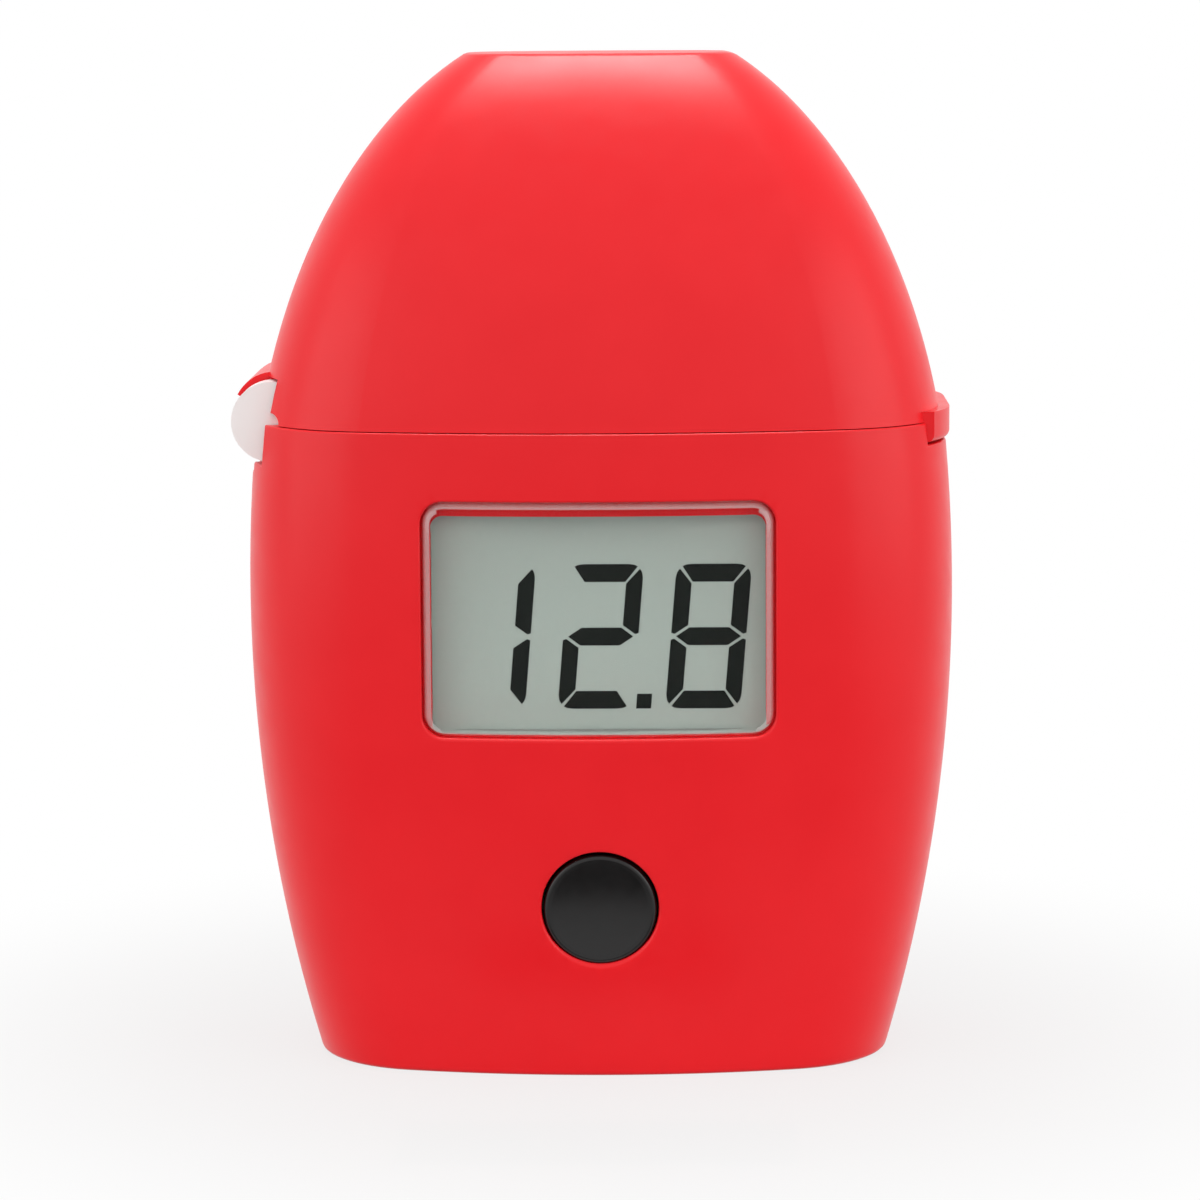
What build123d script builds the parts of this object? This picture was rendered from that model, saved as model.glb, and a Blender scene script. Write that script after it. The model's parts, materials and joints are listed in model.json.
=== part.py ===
from build123d import *
import os
from math import atan2, cos, pi, sin, sqrt

# A pocket colorimeter, standing upright on its flat base. Millimetres, Z up, the display faces -Y,
# X to the right seen from the front, and the origin is the middle of the base.

# Casing form
overall_height = 86.0
body_half_width = 30.15
body_half_depth = 18.75
widest_height = 40.0
flank_radius = 145.0
plan_broad_radius = 90.0
plan_corner_radius = 12.3
crown_step = 0.1
crown_depth_step = 0.05
crown_centre_height = 43.5
crown_apex_rise = 3.4
crown_left_corner = 1.0
crown_right_corner = 3.0
crown_edge_radius = 0.7
base_edge_radius = 0.6
split_height = 55.0
lid_gap = 0.2
wall = 2.0
lid_wall = 1.8

# Seam between the two casing halves
tongue_thickness = 0.9
tongue_length = 1.2
tongue_clearance = 0.1

# Display window, panel and its frame
window_centre_height = 39.4
lens_width = 29.4
lens_height = 19.7
lens_corner = 1.8
lens_thickness = 1.2
lens_recess = 0.05
lens_clearance = 0.1
view_width = 27.7
view_height = 18.1
view_corner = 1.0
lcd_setback = 1.75
lcd_width = 30.0
lcd_height = 22.0
lcd_glass = 0.8
lcd_ledge = 1.8
lcd_frame_rim = 1.2
lcd_frame_clearance = 0.1
lcd_frame_setback = 0.4
zebra_length = 27.0
zebra_width = 1.4
zebra_height = 2.7
window_rib = 0.9
window_rib_gap = 0.05

# Circuit board
board_thickness = 1.0
board_width = 34.0
board_bottom = 8.0
board_top_gap = 0.7
board_wing_side = 1.3
board_wing_height = 14.0
board_post_radius = 1.6
board_pin_radius = 0.7
board_pin_clearance = 0.1
board_post_inset = 2.4
board_post_heights = (10.6, 23.6)
chip_half_width = 4.5
chip_height = 9.0
chip_thickness = 1.4
chip_bottom = 11.0
crystal_x = 8.1
crystal_width = 2.2
crystal_height = 6.0
crystal_thickness = 1.8
capacitor_x = -8.25
capacitor_width = 2.5
capacitor_height = 4.0
capacitor_thickness = 2.2
resistor_count = 4
resistor_spacing = 6.0
resistor_width = 2.0
resistor_height = 1.2
resistor_thickness = 0.7
resistor_bottom = 21.2

# Push button and its switch
button_height = 14.8
button_radius = 4.75
button_clearance = 0.2
button_recess = 0.1
button_dish_radius = 17.0
button_dish_depth = 0.75
button_flange_radius = 5.6
button_flange_thickness = 0.7
button_flange_y = -14.2
button_collar_wall = 1.3
button_collar_gap = 0.1
button_travel = 0.5
switch_side = 6.0
switch_body_height = 1.4
switch_hole_depth = 1.15
plunger_radius = 1.0
plunger_clearance = 0.1
plunger_end_gap = 0.1

# Cuvette well
well_radius = 11.8
well_wall = 1.3
well_depth = 28.2
well_floor = 2.0
well_board_gap = 0.2
well_mouth_clearance = 0.2
well_mouth_chamfer = 0.4
optic_above_floor = 13.0
optic_aperture_radius = 1.2

# Light source, filter and detector
led_radius = 1.5
led_length = 4.4
led_flange_radius = 1.9
led_flange_thickness = 0.4
led_lug_side = 7.0
led_lug_reach = 5.1
detector_radius = 3.0
detector_length = 3.4
detector_flange_radius = 3.4
detector_flange_thickness = 0.5
detector_lug_side = 9.0
detector_lug_reach = 5.1
filter_radius = 3.0
filter_thickness = 1.2
optic_clearance = 0.1
lead_radius = 0.25
lead_spacing = 2.54
lead_bend = 0.45
lead_standoff = 0.7
lead_tail = 0.9

# Deck that closes the body under the lid
deck_setback = 0.3
deck_thickness = 1.8
deck_fit = 0.1
deck_ledge = 0.9
deck_ledge_height = 0.9
gasket_thickness = 0.4
gasket_recess = 0.8
ridge_rise = 1.3
ridge_thickness = 1.0
ridge_clearance = 0.35

# Lid hinge on the left side
pivot_inset = 2.4
pivot_rise = 0.25
ear_radius = 3.4
ear_inner = 6.5
ear_outer = 9.0
ear_neck_drop = 0.7
ear_neck_length = 4.35
hinge_side_gap = 0.25
ear_slot_gap = 0.25
knuckle_radius = 3.2
knuckle_half_length = 6.2
knuckle_gap = 0.3
hood_radius = 4.05
hood_end_radius = 3.72
hood_start_angle = 78.0
hood_end_angle = 146.0
stop_notch_drop = 0.8
pin_radius = 0.75
pin_press = 0.02
pin_running = 0.05
pin_blind_wall = 0.7
pin_recess = 0.2
hood_root = 2.9

# Latch tab on the right side
tab_half_length = 10.4
tab_drop = 1.6
tab_rise = 1.0
tab_reach = 0.78
tab_depth = 1.4
tab_gap = 0.2
tab_corner = 0.6
bead_height = 0.5
bead_reach = 0.3
bead_rise = 0.3
bead_root = 0.1
bead_half_length = 3.5
bead_groove_depth = 1.6
bead_groove_gap = 0.15
bead_groove_half_length = 5.2

# Lid liner
liner_thickness = 0.6
liner_gap = 0.05
liner_ridge_gap = 0.8

# Battery, an AAA cell lying across the body
battery_radius = 5.25
battery_length = 43.7
battery_nipple_radius = 1.9
battery_nipple_length = 0.8
battery_height = 13.5
battery_x = 0.5
battery_slack = 0.25
board_back_room = 6.8
tub_wall = 1.2
tub_door_gap = 0.75
contact_thickness = 0.4
contact_width = 6.0
contact_height = 6.4
contact_tail_width = 3.0
contact_tail_inset = 2.5
contact_slot_gap = 0.2
spring_length = 2.3
spring_wire_radius = 0.3
spring_radius = 2.6
spring_turns = 2.5

# Battery door on the rear
door_side_room = 7.35
door_bottom = 6.6
door_top = 22.0
door_gap = 0.2
door_swing_gap = 0.45
door_tab_reach = 0.8
door_tab_length = 2.4
door_tab_clearance = 0.25
door_tab_height = 1.8
door_tab_thickness = 1.5
door_tab_heights = (9.4, 17.4)
door_tab_room = 4.3
door_rib_thickness = 1.2
door_rib_positions = (-12.0, 0.0, 12.0)
door_rib_gap = 0.3
door_screw_inset = 4.8
door_screw_drop = 1.9
door_screw_seat = 1.1
door_screw_length = 3.5
door_screw_clearance = 0.25
door_boss_radius = 2.1
door_boss_depth = 4.4
door_boss_gap = 0.25

# Screws
screw_radius = 0.85
screw_head_radius = 1.75
screw_head_height = 1.0
screw_head_clearance = 0.25
screw_slot = 0.4
case_screw_side_room = 8.65
case_screw_lower_height = 27.5
case_screw_deck_room = 4.5
case_screw_length = 11.0
case_screw_seat_y = 7.6
case_screw_grip = 0.1
case_boss_radius = 2.6
case_post_wall = 1.1

# Sizes worked out from the driving dimensions
crown_half_width = body_half_width - crown_step
crown_half_depth = body_half_depth - crown_depth_step
crown_half_height = overall_height - crown_centre_height + crown_apex_rise
body_top = split_height - lid_gap / 2
lid_bottom = split_height + lid_gap / 2
deck_top = body_top - deck_setback
deck_bottom = deck_top - deck_thickness
ridge_top = lid_bottom + ridge_rise
liner_bottom = ridge_top + liner_ridge_gap
pivot_x = pivot_inset - body_half_width
pivot_height = split_height + pivot_rise
ear_neck_bottom = deck_bottom - ear_neck_drop
ear_neck_end = pivot_x + ear_neck_length
notch_bottom = pivot_height - ear_radius - ear_slot_gap
stop_notch_bottom = notch_bottom - stop_notch_drop
pin_front_end = pin_blind_wall - ear_outer
pin_rear_end = ear_outer - pin_recess
tab_bottom = split_height - tab_drop
tab_top = split_height + tab_rise
bead_bottom = tab_bottom + bead_rise
lcd_front = -(body_half_depth - wall - lcd_setback)
board_front = lcd_front + lcd_glass + zebra_height
board_rear = board_front + board_thickness
board_top = deck_bottom - deck_ledge_height - board_top_gap
board_post_x = board_width / 2 - board_post_inset
well_outer = well_radius + well_wall
well_y = board_rear + well_board_gap + well_outer
well_top = deck_bottom + gasket_recess - gasket_thickness
well_floor_height = well_top - well_depth
optic_height = well_floor_height + optic_above_floor
led_lug_end = well_outer + led_lug_reach
detector_lug_end = well_outer + detector_lug_reach
board_wing_width = 2 * (max(led_lug_end, detector_lug_end) + lead_standoff + board_wing_side)
board_wing_bottom = optic_height - board_wing_height / 2
board_wing_top = optic_height + board_wing_height / 2
battery_y = board_rear + board_back_room + tub_wall + battery_slack + battery_radius
tub_front = battery_y - battery_radius - battery_slack - tub_wall
tub_top = battery_height + battery_radius + battery_slack
contact_tail_x = board_width / 2 - contact_tail_inset
door_half_width = body_half_width - door_side_room
door_screw_x = door_half_width - door_screw_inset
door_screw_height = door_top - door_screw_drop
case_screw_x = body_half_width - case_screw_side_room
case_screw_heights = (case_screw_lower_height, deck_bottom - case_screw_deck_room)
far = 60.0


def block(x0, x1, y0, y1, z0, z1):
    """A box between two corners."""
    return Pos((x0 + x1) / 2, (y0 + y1) / 2, (z0 + z1) / 2) * Box(x1 - x0, y1 - y0, z1 - z0)


def rod_y(x, z, radius, y0, y1):
    """A round bar along Y."""
    return Pos(x, (y0 + y1) / 2, z) * Rot(90, 0, 0) * Cylinder(radius, y1 - y0)


def rod_x(y, z, radius, x0, x1):
    """A round bar along X."""
    return Pos((x0 + x1) / 2, y, z) * Rot(0, 90, 0) * Cylinder(radius, x1 - x0)


def rod_z(x, y, radius, z0, z1):
    """A round bar along Z."""
    return Pos(x, y, (z0 + z1) / 2) * Cylinder(radius, z1 - z0)


def window_prism(width, height, corner, y0, y1):
    """A rounded rectangle facing the front, extruded along Y about the window's centre."""
    face = Plane.XZ * RectangleRounded(width, height, corner)
    return Pos(0, y1, window_centre_height) * extrude(face, y1 - y0)


def plan_wire(width, depth, broad, corner, z):
    """The casing's plan outline: broad front and rear arcs, corner arcs and short flat flanks."""
    corner_x = width - corner
    broad_y = depth - broad
    corner_y = broad_y + sqrt((broad - corner) ** 2 - corner_x ** 2)
    stretch = broad / (broad - corner)
    tangent_x = corner_x * stretch
    tangent_y = broad_y + (corner_y - broad_y) * stretch
    half_turn = atan2(corner_y - broad_y, corner_x) / 2
    middle_x = corner_x + corner * cos(half_turn)
    middle_y = corner_y + corner * sin(half_turn)

    def arc(start, middle, end):
        return Edge.make_three_point_arc(Vector(*start, z), Vector(*middle, z), Vector(*end, z))

    def line(start, end):
        return Edge.make_line(Vector(*start, z), Vector(*end, z))

    return Wire([
        line((width, -corner_y), (width, corner_y)),
        arc((width, corner_y), (middle_x, middle_y), (tangent_x, tangent_y)),
        arc((tangent_x, tangent_y), (0, depth), (-tangent_x, tangent_y)),
        arc((-tangent_x, tangent_y), (-middle_x, middle_y), (-width, corner_y)),
        line((-width, corner_y), (-width, -corner_y)),
        arc((-width, -corner_y), (-middle_x, -middle_y), (-tangent_x, -tangent_y)),
        arc((-tangent_x, -tangent_y), (0, -depth), (tangent_x, -tangent_y)),
        arc((tangent_x, -tangent_y), (middle_x, -middle_y), (width, -corner_y)),
    ])


def body_wire(z, inset):
    """The body's outline at height z, moved inward by inset."""
    drop = flank_radius - sqrt(flank_radius ** 2 - (z - widest_height) ** 2)
    scale = 1 - drop / body_half_width
    return plan_wire(body_half_width * scale - inset, body_half_depth * scale - inset,
                     plan_broad_radius * scale - inset, plan_corner_radius * scale - inset, z)


def lid_wire(z, inset):
    """The lid's outline at height z: the plan shrinks as an ellipse, itself smaller by inset."""
    rise = (z - crown_centre_height) / (crown_half_height - inset)
    scale = sqrt(1 - rise ** 2)
    return plan_wire((crown_half_width - inset) * scale, (crown_half_depth - inset) * scale,
                     (plan_broad_radius - inset) * scale, (plan_corner_radius - inset) * scale, z)


def lofted(outline, bottom, top, inset, steps):
    """A smooth solid through evenly spaced outlines."""
    heights = [bottom + (top - bottom) * i / steps for i in range(steps + 1)]
    return Solid.make_loft([outline(z, inset) for z in heights])


def body_form(inset, bottom, top):
    return lofted(body_wire, bottom, top, inset, 6)


def lid_form(inset, bottom, top):
    """The lid's crown; its outlines lie closer together towards the top, where it turns in fastest."""
    steps = 8
    turn = pi / 2
    heights = [bottom + (top - bottom) * sin(turn * i / steps) for i in range(steps + 1)]
    return Solid.make_loft([lid_wire(z, inset) for z in heights])


def plan_slab(outline, z, inset, z0, z1):
    """A straight-sided plate with the casing's outline at height z."""
    face = Face(outline(z, inset))
    return Pos(0, 0, z0 - z) * extrude(face, z1 - z0, dir=(0, 0, 1))


def pivot_disc(radius, y0, y1):
    return rod_y(pivot_x, pivot_height, radius, y0, y1)


def casing_half(side):
    """One half of the body's wall, side -1 at the front and 1 at the rear."""
    outer = body_form(0, 0, body_top)
    foot = outer.faces().sort_by(Axis.Z)[0]
    outer = fillet(foot.edges(), base_edge_radius)
    shell = outer - body_form(wall, wall, body_top + 1)
    half = block(-far, far, min(0, side * far), max(0, side * far), -1, far)
    return shell & half


def tongue(inset, length):
    """The band inside the seam that the rear half carries into the front half."""
    band = body_form(inset, inset, body_top) - body_form(wall, wall, body_top + 1)
    return band & block(-far, far, -length, 0, 0, far)


def side_notches():
    """Openings in the body's wall for the hinge ears, the knuckle and the latch tab."""
    ears = block(-far, pivot_x + ear_radius, -ear_outer - hinge_side_gap, ear_outer + hinge_side_gap,
                 notch_bottom, far)
    stop = block(-far, pivot_x + ear_radius, -ear_inner, ear_inner, stop_notch_bottom, far)
    tab = block(body_half_width / 2, far, -tab_half_length - tab_gap, tab_half_length + tab_gap,
                tab_bottom - tab_gap, far)
    return ears + stop + tab


def deck_ledge_ring():
    """The narrow ledge inside the wall that carries the deck."""
    bottom = deck_bottom - deck_ledge_height
    outer = plan_slab(body_wire, deck_bottom, wall / 2, bottom, deck_bottom)
    inner = plan_slab(body_wire, deck_bottom, wall + deck_ledge, bottom, deck_bottom)
    return outer - inner - rod_z(0, well_y, well_outer + deck_fit, bottom - 1, deck_bottom + 1)


def case_screw_places():
    return [(side * case_screw_x, z) for z in case_screw_heights for side in (-1, 1)]


def board_post_places():
    return [(side * board_post_x, z) for z in board_post_heights for side in (-1, 1)]


def window_ribs():
    """The raised frame inside the window that the display glass is pressed against."""
    wide = window_prism(view_width + 2 * window_rib, view_height + 2 * window_rib,
                        view_corner + window_rib, -far, lcd_front - window_rib_gap)
    hole = window_prism(view_width, view_height, view_corner, -far, 0)
    return wide - hole


def button_collar():
    """The guide round the button behind the wall."""
    outer = button_radius + button_clearance + button_collar_wall
    return rod_y(0, button_height, outer, -far, button_flange_y - button_collar_gap)


def front_shell():
    shell = casing_half(-1)
    inside = body_form(wall / 2, wall / 2, body_top) & block(-far, far, -far, 0, 0, far)
    extras = window_ribs() + button_collar() + deck_ledge_ring()
    for x, z in case_screw_places():
        extras += rod_y(x, z, case_boss_radius, -far, -case_screw_grip)
    for x, z in board_post_places():
        extras += rod_y(x, z, board_post_radius, -far, board_front)
        extras += rod_y(x, z, board_pin_radius, board_front, board_rear)
    shell += extras & inside
    shell -= tongue(wall - tongue_thickness - tongue_clearance, tongue_length + tongue_clearance)
    lens_pocket = window_prism(lens_width + 2 * lens_clearance, lens_height + 2 * lens_clearance,
                               lens_corner + lens_clearance, -far, 0)
    shell -= lens_pocket - body_form(lens_thickness, lens_thickness, body_top)
    shell -= window_prism(view_width, view_height, view_corner, -far, 0)
    shell -= rod_y(0, button_height, button_radius + button_clearance, -far, 0)
    for x, z in case_screw_places():
        shell -= rod_y(x, z, screw_radius, -case_boss_radius * 3, 1)
    return shell - side_notches()


def battery_tub():
    """Walls of the battery compartment inside the rear half."""
    left = battery_x - battery_length / 2 - spring_length - contact_thickness
    right = battery_x + battery_length / 2 + battery_nipple_length + contact_thickness
    rib_end = battery_y + battery_radius / 2 - door_rib_gap
    front_wall = block(-far, far, tub_front, tub_front + tub_wall, 0, tub_top + tub_wall)
    slot_half = contact_tail_width / 2 + contact_slot_gap
    for inner, outer in ((left, left + contact_thickness), (right - contact_thickness, right)):
        front_wall -= block(inner - contact_slot_gap, outer + contact_slot_gap, tub_front - 1,
                            tub_front + tub_wall + 1, battery_height - slot_half,
                            battery_height + slot_half)
    top_wall = block(-far, far, tub_front, far, tub_top, tub_top + tub_wall)
    contact_rear = battery_y + contact_width / 2
    left_wall = block(left - tub_wall, left, tub_front, contact_rear, 0, tub_top)
    right_wall = block(right, right + tub_wall, tub_front, contact_rear, 0, tub_top)
    rib_top = battery_height - battery_radius - battery_slack
    floor_ribs = Part()
    for x in door_rib_positions:
        floor_ribs += block(x - door_rib_thickness / 2, x + door_rib_thickness / 2, tub_front, rib_end,
                            0, rib_top)
    boss = rod_y(door_screw_x, door_screw_height, door_boss_radius, 0, far)
    boss &= door_inside(door_boss_gap)
    boss -= door_inside(door_boss_gap + door_boss_depth)
    top_wall &= door_inside(tub_door_gap)
    tub = front_wall + top_wall + left_wall + right_wall + floor_ribs + boss
    behind = block(-far, far, 0, far, 0, far) & body_form(wall / 2, wall / 2, body_top)
    ahead = block(-far, far, -far, 0, 0, far) & body_form(wall + tongue_clearance, wall, body_top)
    return tub & (behind + ahead)


def door_inside(gap):
    """The room inside the wall, shrunk by a gap from the wall's inner face."""
    return body_form(wall + gap, wall / 2, body_top)


def door_opening(gap, swing_gap):
    """The block that the battery door, or its opening, takes from the rear wall."""
    return block(-door_half_width + gap, door_half_width - swing_gap, battery_y + battery_radius / 2, far,
                 door_bottom + gap, door_top - gap)


def rear_shell():
    shell = casing_half(1)
    shell += tongue(wall - tongue_thickness, tongue_length)
    inside = body_form(wall / 2, wall / 2, body_top) & block(-far, far, -far, far, 0, far)
    ledge = deck_ledge_ring() & block(-far, far, 0, far, 0, far)
    for x, z in case_screw_places():
        post_radius = screw_head_radius + screw_head_clearance + case_post_wall
        ledge += rod_y(x, z, post_radius, 0, far)
    shell += ledge & inside
    shell -= door_opening(0, 0)
    shell += battery_tub()
    for x, z in case_screw_places():
        shell -= rod_y(x, z, screw_head_radius + screw_head_clearance, case_screw_seat_y, far)
        shell -= rod_y(x, z, screw_radius + case_screw_grip, -1, far)
    shell -= rod_y(door_screw_x, door_screw_height, screw_radius + door_screw_clearance, 0, far)
    return shell - side_notches()


def lcd_window():
    lens = window_prism(lens_width, lens_height, lens_corner, -far, 0)
    lens &= body_form(lens_recess, lens_recess, body_top)
    return lens - body_form(lens_thickness, lens_thickness, body_top)


def lcd_panel():
    """Front glass, with contact ledges above and below the shorter rear glass."""
    corner = lcd_glass / 4
    front = window_prism(lcd_width, lcd_height, corner, lcd_front, lcd_front + lcd_glass)
    rear = window_prism(lcd_width, lcd_height - 2 * lcd_ledge, corner, lcd_front + lcd_glass,
                        lcd_front + 2 * lcd_glass)
    return front + rear


def lcd_frame():
    """The plastic frame that locates the glass and the contact strips on the board."""
    corner = lcd_frame_rim
    inner_width = lcd_width + 2 * lcd_frame_clearance
    inner_height = lcd_height + 2 * lcd_frame_clearance
    front = lcd_front + lcd_frame_setback
    outer = window_prism(inner_width + 2 * lcd_frame_rim, inner_height + 2 * lcd_frame_rim, corner,
                         front, board_front)
    return outer - window_prism(inner_width, inner_height, corner / 4, -far, 0)


def zebra_strips():
    """The two rubber contact strips between glass and board."""
    strips = []
    for side in (-1, 1):
        z = window_centre_height + side * (lcd_height - lcd_ledge) / 2
        strips.append(block(-zebra_length / 2, zebra_length / 2, board_front - zebra_height, board_front,
                            z - zebra_width / 2, z + zebra_width / 2))
    return Compound(children=strips)


def lead_places(side):
    """Where each of the two leads of the light source or detector meets the board."""
    end = led_lug_end if side < 0 else detector_lug_end
    x = side * (end + lead_standoff)
    return [(x, optic_height + step * lead_spacing / 2) for step in (-1, 1)]


def main_board():
    middle = board_width / 2
    wing = board_wing_width / 2
    board = block(-middle, middle, board_front, board_rear, board_bottom, board_top)
    board += block(-wing, wing, board_front, board_rear, board_wing_bottom, board_wing_top)
    corners = board.edges().filter_by(Axis.Y)
    board = fillet(corners, board_thickness / 2)
    for x, z in board_post_places():
        board -= rod_y(x, z, board_pin_radius + board_pin_clearance, board_front - 1, board_rear + 1)
    for side in (-1, 1):
        for x, z in lead_places(side):
            board -= rod_y(x, z, lead_radius + optic_clearance, board_front - 1, board_rear + 1)
    return board


def board_part(x, bottom, width, height, thickness):
    """One part soldered flat on the rear of the board."""
    return block(x - width / 2, x + width / 2, board_rear, board_rear + thickness, bottom, bottom + height)


def board_components():
    """The processor, its crystal and a few small chip parts on the rear of the board."""
    parts = [
        board_part(0, chip_bottom, 2 * chip_half_width, chip_height, chip_thickness),
        board_part(crystal_x, chip_bottom, crystal_width, crystal_height, crystal_thickness),
        board_part(capacitor_x, chip_bottom, capacitor_width, capacitor_height, capacitor_thickness),
    ]
    first_x = -resistor_spacing * (resistor_count - 1) / 2
    for i in range(resistor_count):
        parts.append(board_part(first_x + i * resistor_spacing, resistor_bottom, resistor_width,
                                resistor_height, resistor_thickness))
    return Compound(children=parts)


def switch_body():
    half = switch_side / 2
    body = block(-half, half, board_front - switch_body_height, board_front,
                 button_height - half, button_height + half)
    mouth = board_front - switch_body_height
    hole = rod_y(0, button_height, plunger_radius + plunger_clearance, mouth - 1,
                 mouth + switch_hole_depth)
    return body - hole


def switch_plunger():
    """The switch's own plunger, resting against the button's flange."""
    start = button_flange_y + button_flange_thickness
    mouth = board_front - switch_body_height
    end = mouth + switch_hole_depth - button_travel - plunger_end_gap
    return rod_y(0, button_height, plunger_radius, start, end)


def power_button():
    """The round dished button, flush with the curved front, with its retaining flange."""
    cap = rod_y(0, button_height, button_radius, -far, button_flange_y + button_flange_thickness)
    cap &= body_form(button_recess, button_recess, body_top)
    cap += rod_y(0, button_height, button_flange_radius, button_flange_y,
                 button_flange_y + button_flange_thickness)
    face_y = -body_face(button_height) + button_recess
    dish = Pos(0, face_y + button_dish_depth - button_dish_radius, button_height) * Sphere(button_dish_radius)
    return cap - dish


def body_face(z):
    """How far the body's front face stands from the middle plane at height z."""
    drop = flank_radius - sqrt(flank_radius ** 2 - (z - widest_height) ** 2)
    return body_half_depth * (1 - drop / body_half_width)


def cuvette_holder():
    """The black optical block: the well's tube with a lug on each side for source and detector."""
    bottom = well_floor_height - well_floor
    holder = rod_z(0, well_y, well_outer, bottom, well_top)
    led_half = led_lug_side / 2
    detector_half = detector_lug_side / 2
    holder += block(-led_lug_end, 0, well_y - led_half, well_y + led_half,
                    optic_height - led_half, optic_height + led_half)
    holder += block(0, detector_lug_end, well_y - detector_half, well_y + detector_half,
                    optic_height - detector_half, optic_height + detector_half)
    holder -= rod_z(0, well_y, well_radius, well_floor_height, well_top + 1)
    holder -= rod_x(well_y, optic_height, optic_aperture_radius, -far, far)
    led_end = led_lug_end - led_length - optic_clearance
    holder -= rod_x(well_y, optic_height, led_radius + optic_clearance, -far, -led_end)
    stack = detector_length + filter_thickness + optic_clearance
    filter_seat = detector_lug_end - stack
    bore = max(filter_radius, detector_radius) + optic_clearance
    holder -= rod_x(well_y, optic_height, bore, filter_seat, far)
    return holder


def bent_lead(side, z):
    """One wire lead, out of the part's back and forward through the board."""
    end = led_lug_end if side < 0 else detector_lug_end
    x = side * (end + lead_standoff)
    path = FilletPolyline((side * end, well_y, z), (x, well_y, z), (x, board_front - lead_tail, z),
                          radius=lead_bend)
    profile = Plane(origin=(side * end, well_y, z), z_dir=(side, 0, 0)) * Circle(lead_radius)
    return sweep(profile, path=path)


def led_emitter():
    """A small round light source with a domed tip, pointing into the well."""
    dome_x = -led_lug_end + led_length - led_radius
    led = rod_x(well_y, optic_height, led_radius, -led_lug_end, dome_x)
    led += Pos(dome_x, well_y, optic_height) * Sphere(led_radius)
    flange = rod_x(well_y, optic_height, led_flange_radius, -led_lug_end - led_flange_thickness,
                   -led_lug_end)
    led += flange
    for x, z in lead_places(-1):
        led += bent_lead(-1, z)
    return led


def optical_filter():
    start = detector_lug_end - detector_length - filter_thickness
    return rod_x(well_y, optic_height, filter_radius, start, start + filter_thickness)


def photodetector():
    """The light detector in its round can, behind the filter."""
    can = rod_x(well_y, optic_height, detector_radius, detector_lug_end - detector_length,
                detector_lug_end)
    can += rod_x(well_y, optic_height, detector_flange_radius, detector_lug_end,
                 detector_lug_end + detector_flange_thickness)
    for x, z in lead_places(1):
        can += bent_lead(1, z)
    return can


def well_gasket():
    """The foam ring that seals the tube's top against the deck."""
    ring = rod_z(0, well_y, well_outer, well_top, well_top + gasket_thickness)
    return ring - rod_z(0, well_y, well_radius + well_mouth_clearance, well_top - 1, far)


def deck_frame():
    """The white deck with the well's mouth, the light-trap ridge and the two hinge ears."""
    deck = plan_slab(body_wire, deck_top, wall + deck_fit, deck_bottom, deck_top)
    ridge = plan_slab(lid_wire, ridge_top, lid_wall + ridge_clearance, deck_bottom, ridge_top)
    ridge -= plan_slab(lid_wire, ridge_top, lid_wall + ridge_clearance + ridge_thickness, deck_bottom - 1,
                       ridge_top + 1)
    hinge_zone = ear_outer + hinge_side_gap
    ridge -= block(-far, pivot_x / 2, -hinge_zone, hinge_zone, 0, far)
    deck += ridge
    deck -= rod_z(0, well_y, well_radius + well_mouth_clearance, 0, far)
    mouth = well_radius + well_mouth_clearance
    deck -= Pos(0, well_y, deck_top - well_mouth_chamfer / 2) * Cone(mouth, mouth + well_mouth_chamfer,
                                                                     well_mouth_chamfer)
    deck -= rod_z(0, well_y, well_outer + deck_fit, 0, deck_bottom + gasket_recess)
    deck -= rod_y(pivot_x, pivot_height, knuckle_radius + knuckle_gap, -ear_inner, ear_inner)
    deck -= block(-far, pivot_x, -ear_inner, ear_inner, 0, far)
    for side in (-1, 1):
        y0 = min(side * ear_inner, side * ear_outer)
        y1 = max(side * ear_inner, side * ear_outer)
        deck += pivot_disc(ear_radius, y0, y1)
        deck += block(pivot_x, ear_neck_end, y0, y1, ear_neck_bottom, deck_top)
    deck -= pivot_disc(pin_radius + pin_press, pin_front_end, far)
    groove_x = body_half_width - wall - bead_groove_depth
    deck -= block(groove_x, far, -bead_groove_half_length, bead_groove_half_length,
                  bead_bottom - bead_groove_gap, bead_bottom + bead_height + bead_groove_gap)
    return deck


def hinge_pin():
    return pivot_disc(pin_radius, pin_front_end, pin_rear_end)


def hood_outline():
    """The curved cover over the hinge, thinning towards its free end."""
    def at(radius, angle):
        turn = angle * pi / 180
        return (pivot_x + radius * cos(turn), pivot_height + radius * sin(turn))

    middle = (hood_start_angle + hood_end_angle) / 2
    middle_radius = (hood_radius * 2 + hood_end_radius) / 3
    outer_arc = ThreePointArc(at(hood_radius, hood_start_angle), at(middle_radius, middle),
                              at(hood_end_radius, hood_end_angle))
    end = Line(at(hood_end_radius, hood_end_angle), at(hood_root, hood_end_angle))
    inner_arc = ThreePointArc(at(hood_root, hood_end_angle), at(hood_root, middle), at(hood_root, hood_start_angle))
    start = Line(at(hood_root, hood_start_angle), at(hood_radius, hood_start_angle))
    return make_face([outer_arc, end, inner_arc, start])


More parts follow.
